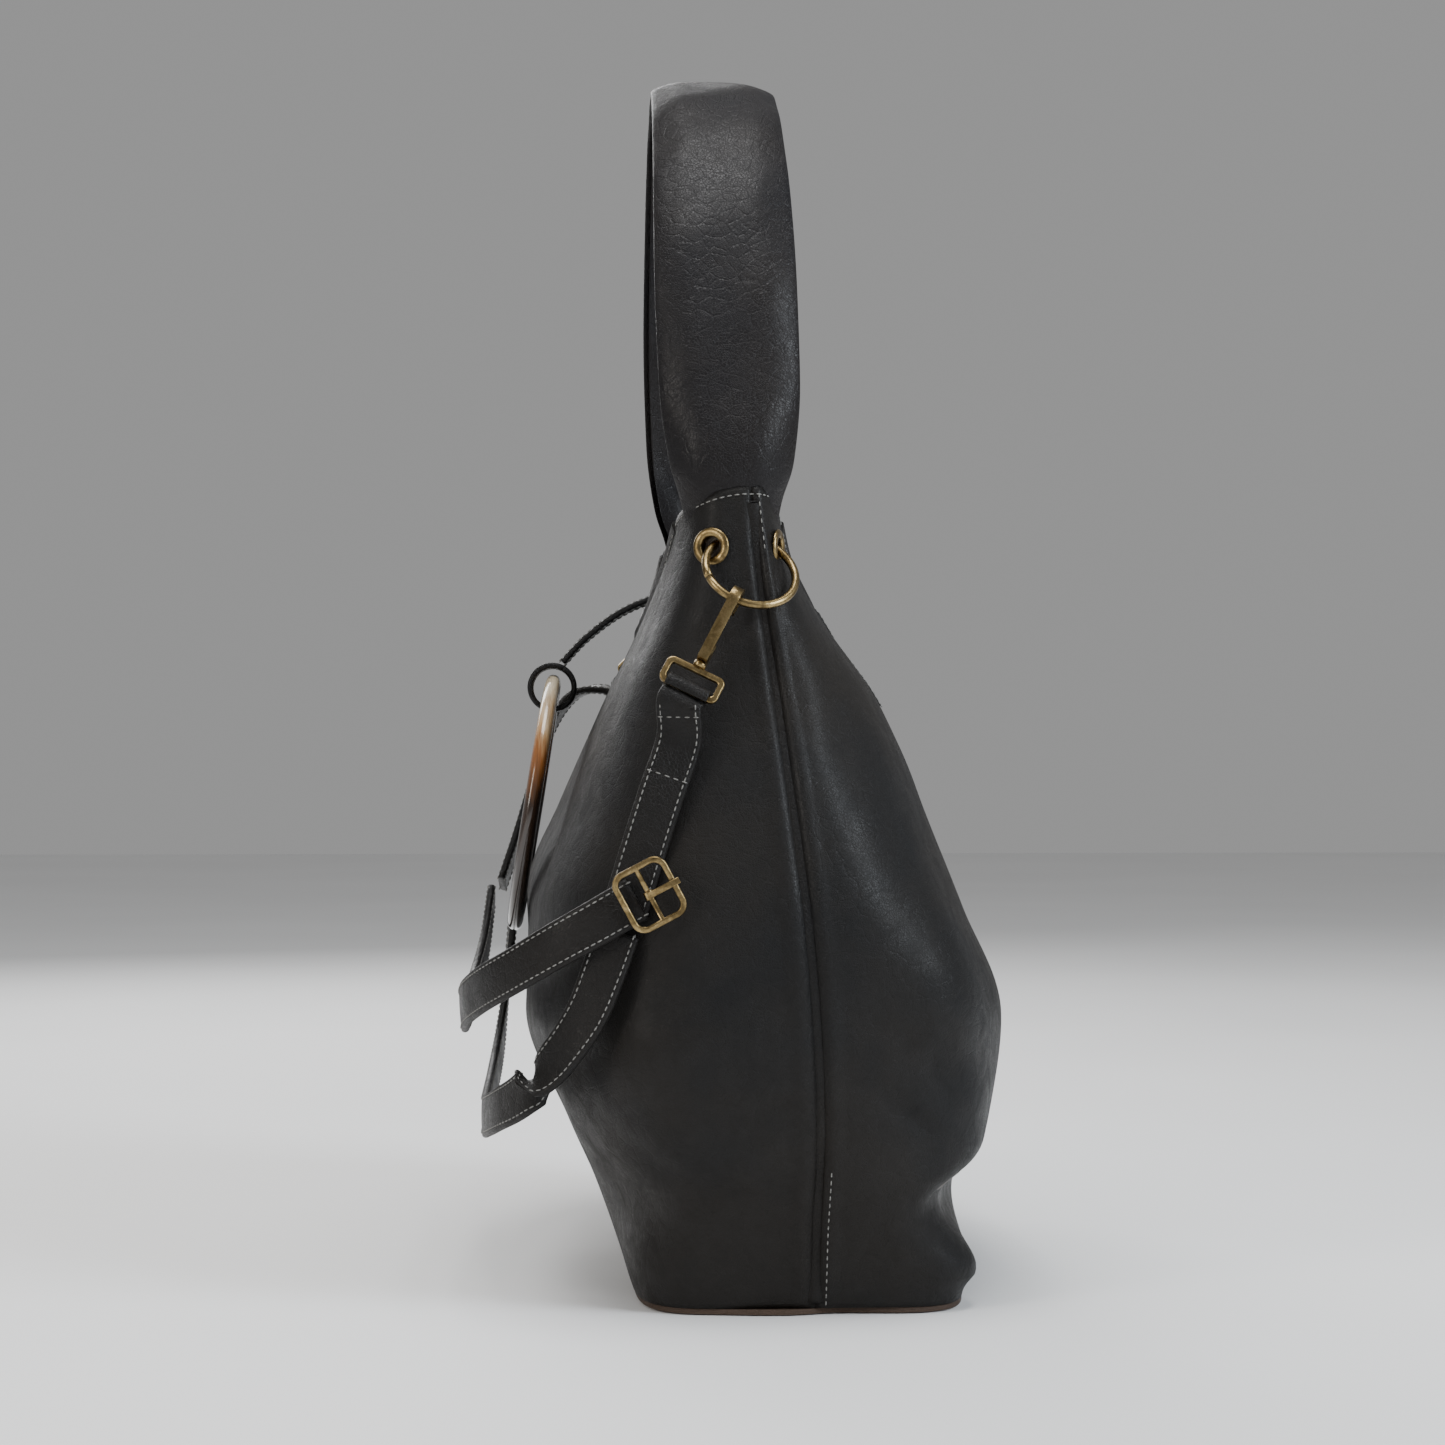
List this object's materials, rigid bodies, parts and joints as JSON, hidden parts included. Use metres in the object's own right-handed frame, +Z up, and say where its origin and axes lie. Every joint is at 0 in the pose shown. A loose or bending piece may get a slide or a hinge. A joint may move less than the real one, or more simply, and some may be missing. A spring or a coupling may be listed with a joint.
{
  "type": "leather shoulder bag",
  "caption": "Black leather slouch shoulder bag with a wide fixed handle, a clip-on long strap with snap hooks and buckle, ring fittings through eyelets, and a big horn ring closure",
  "frame": {"origin": "middle of the bottom of the base panel, where the bag stands", "axes": "+X along the bag's width to its near end, -Y is its front, +Z up to the handle"},
  "size_m": [0.4037, 0.2649, 0.6],
  "materials": {
    "body_leather": "semi-gloss pebbled",
    "handle_leather": "semi-gloss",
    "strap_leather": "semi-gloss, edge-stitched",
    "base_leather": "matte",
    "board": "matte",
    "lining_cloth": "matte",
    "antique_brass": "aged, satin",
    "horn": "polished",
    "thread": "matte"
  },
  "bodies": {
    "bag": {"front_panel": "body_leather", "back_panel": "body_leather", "base_panel": "base_leather", "base_board": "board", "lining": "lining_cloth", "mouth_binding": "body_leather", "near_seam_piping": "body_leather", "far_seam_piping": "body_leather", "handle_band": "handle_leather", "handle_lining": "handle_leather", "near_front_eyelet": "antique_brass", "near_back_eyelet": "antique_brass", "far_front_eyelet": "antique_brass", "far_back_eyelet": "antique_brass", "long_run": "strap_leather", "buckle_run": "strap_leather", "buckle_frame": "antique_brass", "tab_base": "body_leather"},
    "near_ring": {"near_ring": "antique_brass"},
    "near_loop": {"near_strap_loop": "antique_brass"},
    "near_hook": {"near_hook_body": "antique_brass", "near_gate_pin": "antique_brass"},
    "near_gate": {"near_gate": "antique_brass"},
    "near_strap": {"near_strap_end": "strap_leather"},
    "far_ring": {"far_ring": "antique_brass"},
    "far_loop": {"far_strap_loop": "antique_brass"},
    "far_hook": {"far_hook_body": "antique_brass", "far_gate_pin": "antique_brass"},
    "far_gate": {"far_gate": "antique_brass"},
    "far_strap": {"far_strap_end": "strap_leather"},
    "prong": {"buckle_prong": "antique_brass"},
    "tab": {"closure_tab": "body_leather"},
    "horn": {"horn_ring": "horn"}
  },
  "joints": [
    {"name": "near_ring_swing", "type": "hinge", "parent": "bag", "child": "near_ring", "pos_m": [0.14596, -0.0254, 0.352], "axis": [0.2697, -0.9629, 0], "range_deg": [0, 15]},
    {"name": "near_hook_turn", "type": "hinge", "parent": "near_ring", "child": "near_loop", "pos_m": [0.1695, -0.03096, 0.32678], "axis": [0.2697, -0.9629, 0], "range_deg": [-15, 0]},
    {"name": "near_swivel", "type": "hinge", "parent": "near_loop", "child": "near_hook", "pos_m": [0.17008, -0.03182, 0.32518], "axis": [0.3094, -0.4491, -0.8382], "range_deg": [-8, 8]},
    {"name": "near_gate_press", "type": "hinge", "parent": "near_hook", "child": "near_gate", "pos_m": [0.17496, -0.04297, 0.30361], "axis": [0.1174, 0.8928, -0.4349], "range_deg": [0, 20], "stiffness_Nm_per_rad": 0.02},
    {"name": "near_strap_lean", "type": "hinge", "parent": "near_loop", "child": "near_strap", "pos_m": [0.18493, -0.05337, 0.28495], "axis": [0.2697, -0.9629, 0], "range_deg": [-3, 0]},
    {"name": "far_ring_swing", "type": "hinge", "parent": "bag", "child": "far_ring", "pos_m": [-0.14596, -0.0254, 0.352], "axis": [0.2697, 0.9629, 0], "range_deg": [0, 15]},
    {"name": "far_hook_turn", "type": "hinge", "parent": "far_ring", "child": "far_loop", "pos_m": [-0.16817, -0.03628, 0.33], "axis": [0.2697, 0.9629, 0], "range_deg": [-15, 0]},
    {"name": "far_swivel", "type": "hinge", "parent": "far_loop", "child": "far_hook", "pos_m": [-0.16882, -0.03757, 0.32877], "axis": [-0.3399, -0.6798, -0.6498], "range_deg": [-8, 8]},
    {"name": "far_gate_press", "type": "hinge", "parent": "far_hook", "child": "far_gate", "pos_m": [-0.17461, -0.05431, 0.31145], "axis": [0.3102, -0.7334, 0.6049], "range_deg": [0, 20], "stiffness_Nm_per_rad": 0.02},
    {"name": "far_strap_lean", "type": "hinge", "parent": "far_loop", "child": "far_strap", "pos_m": [-0.18513, -0.0702, 0.29758], "axis": [0.2697, 0.9629, 0], "range_deg": [-2.55, 0]},
    {"name": "prong_lift", "type": "hinge", "parent": "bag", "child": "prong", "pos_m": [0.19958, -0.07059, 0.19314], "axis": [-0.0615, 0.4729, -0.879], "range_deg": [0, 70]},
    {"name": "tab_lift", "type": "hinge", "parent": "bag", "child": "tab", "pos_m": [0, 0.02931, 0.3105], "axis": [-1, 0, 0], "range_deg": [0, 75]},
    {"name": "horn_swing", "type": "hinge", "parent": "tab", "child": "horn", "pos_m": [0, -0.116, 0.29], "axis": [-1, 0, 0], "range_deg": [0, 60]}
  ],
  "couplings": [
    {"joint": "near_hook_turn", "follows": "near_ring_swing", "ratio": -1},
    {"joint": "near_strap_lean", "follows": "near_ring_swing", "ratio": -0.2},
    {"joint": "far_hook_turn", "follows": "far_ring_swing", "ratio": -1},
    {"joint": "far_strap_lean", "follows": "far_ring_swing", "ratio": -0.17}
  ]
}
